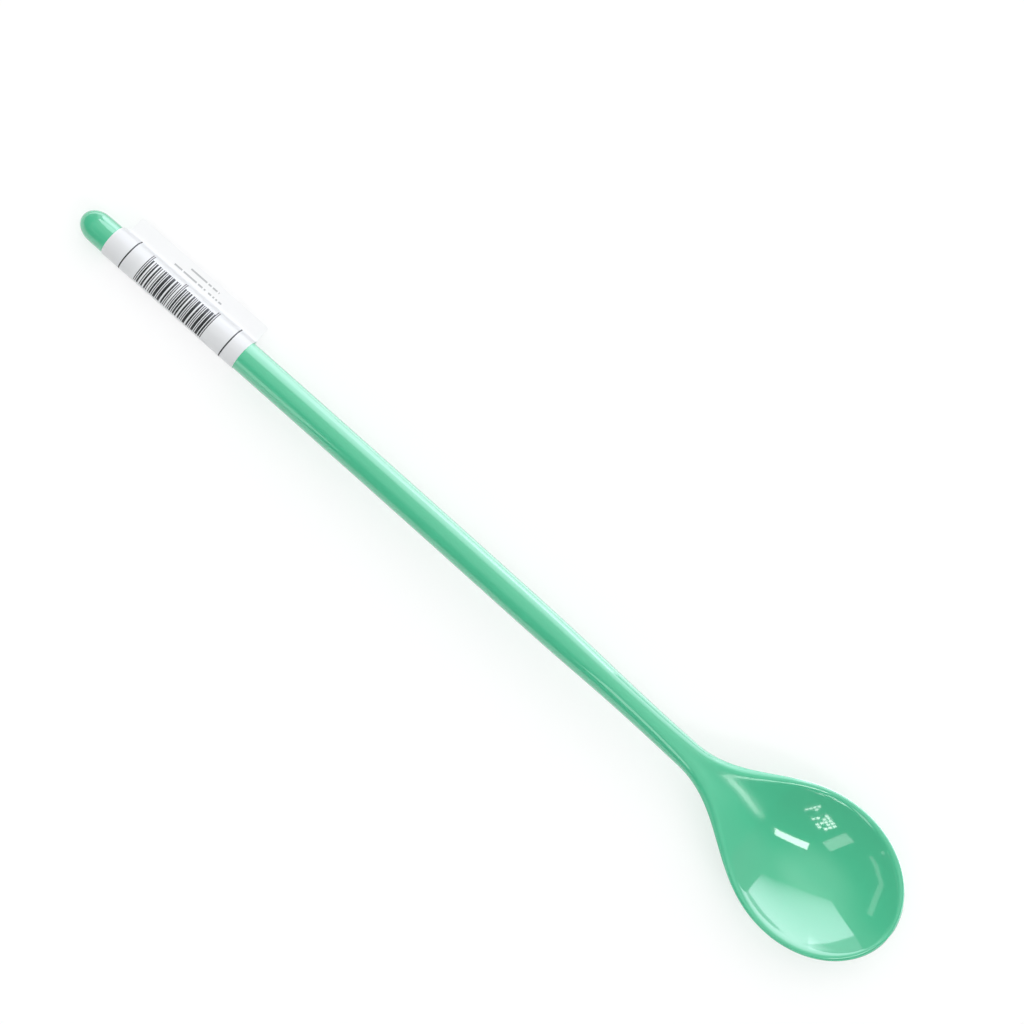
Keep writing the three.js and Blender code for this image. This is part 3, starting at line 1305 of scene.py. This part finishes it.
@dataclass
class Studio:
    """White floor, window light from the flag's side, ceiling lamps and soft fill light."""

    floor_size: float = 30.0
    wall_level: float = 0.30
    ceiling_level: float = 1.0
    ceiling_edge: Point = (0.60, 0.97)
    ceiling_axis: Place = (0.05, 0.20, 0.98)
    window_glow: float = 0.45
    window_edge: Point = (0.0, 0.6)
    lamps: tuple[Lamp, ...] = (
        Window("window", *WINDOW_PLACE, 4.4, DAYLIGHT, casts_shadow=False, role=Role.GLOSS),
        Window("window_fill", *WINDOW_PLACE, 2.4, DAYLIGHT, casts_shadow=False, role=Role.FILL),
        Lamp("long_lamp", (1.0445, -0.7335, 1.5), (1.435, 0.628, 0.0), (-0.128, 0.2925, 0.0), 7.0),
        Lamp("cross_lamp", (0.363, -1.059, 1.5), (-0.202, -1.039, 0.0), (0.406, -0.079, 0.0), 1.7),
        PanedLamp("paned_lamp", (1.2, -1.5, 1.5), (1.62, -0.59, 0.0), (-0.26, -0.713, 0.0), 7.0),
        Lamp("side_panel", (-0.60, -1.5, 0.1), (0.30, 0.0, 0.0), (0.0, 0.0, 0.78), 1.3),
        Lamp("far_cove", (-0.50, -2.04, 1.5), (-0.35, 0.20, 0.0), (0.064, 0.112, 0.0), 1.0,
             role=Role.GLOSS),
        Lamp("mid_cove", (-0.79, -1.86, 1.5), (-0.49, 0.58, 0.0), (0.099, 0.084, 0.0), 1.0,
             role=Role.GLOSS),
        Lamp("near_cove", (-1.24, -1.30, 1.5), (-0.24, 1.33, 0.0), (0.128, 0.023, 0.0), 1.0,
             role=Role.GLOSS),
        Lamp("soft_box", (-1.9, -0.4, 1.8), (2.0, 0.0, 0.0), (0.0, 2.0, 0.0), 1.0,
             casts_shadow=False, role=Role.FILL),
        Lamp("key_lamp", (-0.5, -1.0, 1.4), (1.0, 0.0, 0.0), (0.0, 0.7, 0.0), 1.2, role=Role.FILL),
        Lamp("low_box", (-2.2, -0.9, 0.3), (0.0, 1.8, 0.0), (0.0, 0.0, 1.2), 1.2,
             casts_shadow=False, role=Role.FILL),
        Lamp("glow_fill", (-1.5, 1.2, 0.0), (3.0, 0.0, 0.0), (0.0, 0.0, 1.8), 0.58,
             casts_shadow=False, role=Role.FILL),
        Lamp("floor_gleam", (-0.32, 0.022, 0.0004), (0.62, 0.0, 0.0), (0.0, 0.5, 0.0), 1.7,
             DAYLIGHT, casts_shadow=False, role=Role.GLOSS),
        LowStrip("low_strip", (-0.26, 0.25, 0.0), (0.335, 0.0, 0.0), (0.0, 0.0, 0.20), 3.0,
                 DAYLIGHT, casts_shadow=False, role=Role.GLOSS),
    )

    def lay_floor(self) -> None:
        """Adds the floor."""
        deselect_all()
        bpy.ops.mesh.primitive_plane_add(size=self.floor_size)
        floor = bpy.context.object
        floor.name = "floor"
        floor.data.materials.append(FloorFinish().make())

    def fill(self) -> None:
        """Lights the scene softly from all round, with a glow from the window's side in the gloss."""
        world = bpy.data.worlds.new("studio")
        world.use_nodes = True
        bench = Bench(world.node_tree)
        way = bench.node("ShaderNodeTexCoord").outputs["Generated"]
        _, to_window, _ = bench.split(way)
        sockets = {0: way, 1: self.ceiling_axis}
        lean = bench.node("ShaderNodeVectorMath", {"operation": "DOT_PRODUCT"}, sockets)
        ceiling = bench.ease(bench.shade(lean, "Value"), *self.ceiling_edge)
        glossy = bench.shade(bench.node("ShaderNodeLightPath"), "Is Glossy Ray")
        level = (
            self.wall_level
            + (self.ceiling_level - self.wall_level) * ceiling
            + self.window_glow * glossy * bench.ease(to_window, *self.window_edge)
        )
        glow = bench.node("ShaderNodeBackground", None, {"Strength": level})
        bench.close(glow.outputs["Background"], "ShaderNodeOutputWorld")
        bpy.context.scene.world = world

    def set_up(self) -> None:
        """Lays the floor, hangs the lamps and sets the view's colours."""
        self.lay_floor()
        self.fill()
        for lamp in self.lamps:
            lamp.hang()
        bpy.context.scene.view_settings.view_transform = "Standard"


def main() -> None:
    """Builds the spoon, its label and the studio in order."""
    logging.basicConfig(level=logging.INFO, format="%(name)s: %(message)s")
    spoon_low, spoon_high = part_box(SPOON_NODE)
    Viewpoint().place()
    spoon = Spoon(spoon_low.x, spoon_high.x - spoon_low.x, spoon_high.y - spoon_low.y)
    piece = spoon.build()
    spoon.dress(piece, MelamineFinish())
    log.info("%s: %d faces", piece.name, len(piece.data.polygons))
    label = FlagLabel(spoon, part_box(LABEL_NODE)[1].y)
    piece = label.build()
    label.dress(piece, LabelFinish())
    log.info("%s: %d faces, flat size %.1f x %.1f mm", piece.name, len(piece.data.polygons),
             *(side / MM for side in label.flat_size))
    Studio().set_up()
    log.info("studio set up")


if __name__ == "__main__":
    main()
